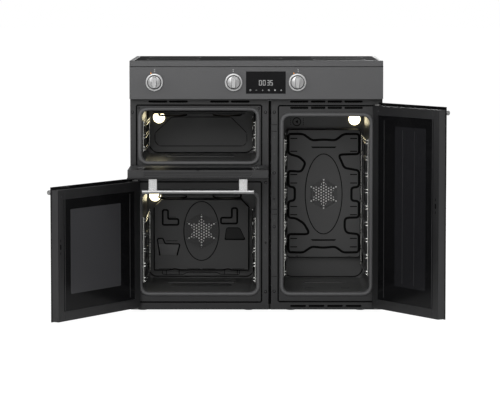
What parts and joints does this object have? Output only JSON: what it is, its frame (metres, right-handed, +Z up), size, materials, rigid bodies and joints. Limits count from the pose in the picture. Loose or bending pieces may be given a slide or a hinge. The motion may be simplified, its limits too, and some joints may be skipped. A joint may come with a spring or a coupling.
{
  "type": "range cooker",
  "caption": "Wide range cooker: flat glass hob and fascia with ring-and-dial selectors over a drop-down grill oven, a side-hung oven and a tall side-hung oven, doors standing open.",
  "frame": {"origin": "on the floor, under the middle of the 900 x 600 mm cabinet", "axes": "+X to the right seen from the front, +Y to the back, +Z up"},
  "size_m": [1.3916, 0.9976, 0.9],
  "materials": {
    "enamel": "satin dark grey enamel of the cavities and frames",
    "frame_enamel": "satin anthracite enamel of the front frames",
    "fascia_paint": "satin graphite lacquer",
    "cabinet_paint": "matt dark grey coated steel",
    "galvanised": "zinc-coated sheet",
    "black_glass": "glossy black-printed toughened glass",
    "hob_glass": "glossy dark glass ceramic",
    "clear_glass": "grey heat-reflecting glass",
    "brushed_steel": "satin brushed stainless steel",
    "steel_wire": "chromed wire",
    "bright_steel": "plain bright steel",
    "hinge_steel": "dark phosphated steel",
    "seal_rubber": "matt grey silicone",
    "lamp_glass": "frosted lamp glass",
    "amber": "amber indicator lens",
    "wool": "mineral wool",
    "copper": "wound copper",
    "black_plastic": "moulded black plastic",
    "display": "smoked display window"
  },
  "bodies": {
    "cabinet": {"base_tray": "galvanised", "adjustable_feet": "black_plastic", "left_side_panel": "cabinet_paint", "right_side_panel": "cabinet_paint", "rear_panel": "galvanised", "module_divider": "galvanised", "cavity_deck": "galvanised", "hob_trim": "fascia_paint", "hob_glass": "hob_glass", "coil_pan": "galvanised", "induction_coils": "copper", "control_panel": "fascia_paint", "display_glass": "display", "indicator_lights": "amber", "rotary_switches": "black_plastic", "left_front_frame": "frame_enamel", "right_front_frame": "frame_enamel", "grill_cavity": "enamel", "main_cavity": "enamel", "tall_cavity": "enamel", "grill_seal": "seal_rubber", "main_seal": "seal_rubber", "tall_seal": "seal_rubber", "insulation": "wool", "cavity_lamps": "lamp_glass", "main_fan_cover": "enamel", "tall_fan_cover": "enamel", "fan_motors": "galvanised", "ring_heaters": "bright_steel", "roof_elements": "bright_steel", "grill_side_racks": "steel_wire", "main_side_racks": "steel_wire", "tall_side_racks": "steel_wire", "door_hinges": "hinge_steel", "door_catches": "bright_steel", "cooling_blower": "galvanised", "terminal_box": "black_plastic"},
    "main_fan_rotor": {"main_fan": "bright_steel"},
    "tall_fan_rotor": {"tall_fan": "bright_steel"},
    "grill_selector": {"grill_knob": "brushed_steel"},
    "grill_temperature": {"grill_ring": "brushed_steel"},
    "grill_door": {"grill_door_glass": "black_glass", "grill_inner_glass": "clear_glass", "grill_door_frame": "enamel", "grill_handle_bar": "brushed_steel", "grill_handle_brackets": "brushed_steel"},
    "main_selector": {"main_knob": "brushed_steel"},
    "main_temperature": {"main_ring": "brushed_steel"},
    "main_door": {"main_door_glass": "black_glass", "main_inner_glass": "clear_glass", "main_door_frame": "enamel", "main_handle_bar": "brushed_steel", "main_handle_brackets": "brushed_steel"},
    "tall_selector": {"tall_knob": "brushed_steel"},
    "tall_temperature": {"tall_ring": "brushed_steel"},
    "tall_door": {"tall_door_glass": "black_glass", "tall_inner_glass": "clear_glass", "tall_door_frame": "enamel", "tall_handle_bar": "brushed_steel", "tall_handle_brackets": "brushed_steel"}
  },
  "joints": [
    {"name": "main_door_hinge", "type": "hinge", "parent": "cabinet", "child": "main_door", "pos_m": [-0.437, -0.283, 0.25], "axis": [0, 0, 1], "range_deg": [0, 122.3]},
    {"name": "grill_door_hinge", "type": "hinge", "parent": "cabinet", "child": "grill_door", "pos_m": [-0.2035, -0.279, 0.511], "axis": [-1, 0, 0], "range_deg": [0, 90]},
    {"name": "tall_door_hinge", "type": "hinge", "parent": "cabinet", "child": "tall_door", "pos_m": [0.437, -0.283, 0.38], "axis": [0, 0, -1], "range_deg": [0, 122.3]},
    {"name": "grill_selector_turn", "type": "hinge", "parent": "cabinet", "child": "grill_selector", "pos_m": [-0.3615, -0.3, 0.8235], "axis": [0, 1, 0], "range_deg": [0, 315]},
    {"name": "grill_temperature_turn", "type": "hinge", "parent": "cabinet", "child": "grill_temperature", "pos_m": [-0.3615, -0.3, 0.8235], "axis": [0, 1, 0], "range_deg": [0, 320]},
    {"name": "main_selector_turn", "type": "hinge", "parent": "cabinet", "child": "main_selector", "pos_m": [-0.0807, -0.3, 0.8235], "axis": [0, 1, 0], "range_deg": [0, 315]},
    {"name": "main_temperature_turn", "type": "hinge", "parent": "cabinet", "child": "main_temperature", "pos_m": [-0.0807, -0.3, 0.8235], "axis": [0, 1, 0], "range_deg": [-315, 5]},
    {"name": "tall_selector_turn", "type": "hinge", "parent": "cabinet", "child": "tall_selector", "pos_m": [0.1459, -0.3, 0.8235], "axis": [0, 1, 0], "range_deg": [0, 315]},
    {"name": "tall_temperature_turn", "type": "hinge", "parent": "cabinet", "child": "tall_temperature", "pos_m": [0.1459, -0.3, 0.8235], "axis": [0, 1, 0], "range_deg": [-30, 290]},
    {"name": "main_fan_spin", "type": "hinge", "parent": "cabinet", "child": "main_fan_rotor", "pos_m": [-0.20425, 0.18, 0.249], "axis": [0, 1, 0], "continuous": true},
    {"name": "tall_fan_spin", "type": "hinge", "parent": "cabinet", "child": "tall_fan_rotor", "pos_m": [0.253, 0.18, 0.388], "axis": [0, 1, 0], "continuous": true}
  ],
  "couplings": [
    {"joint": "grill_door_hinge", "follows": "main_door_hinge", "ratio": 0.73589}
  ]
}
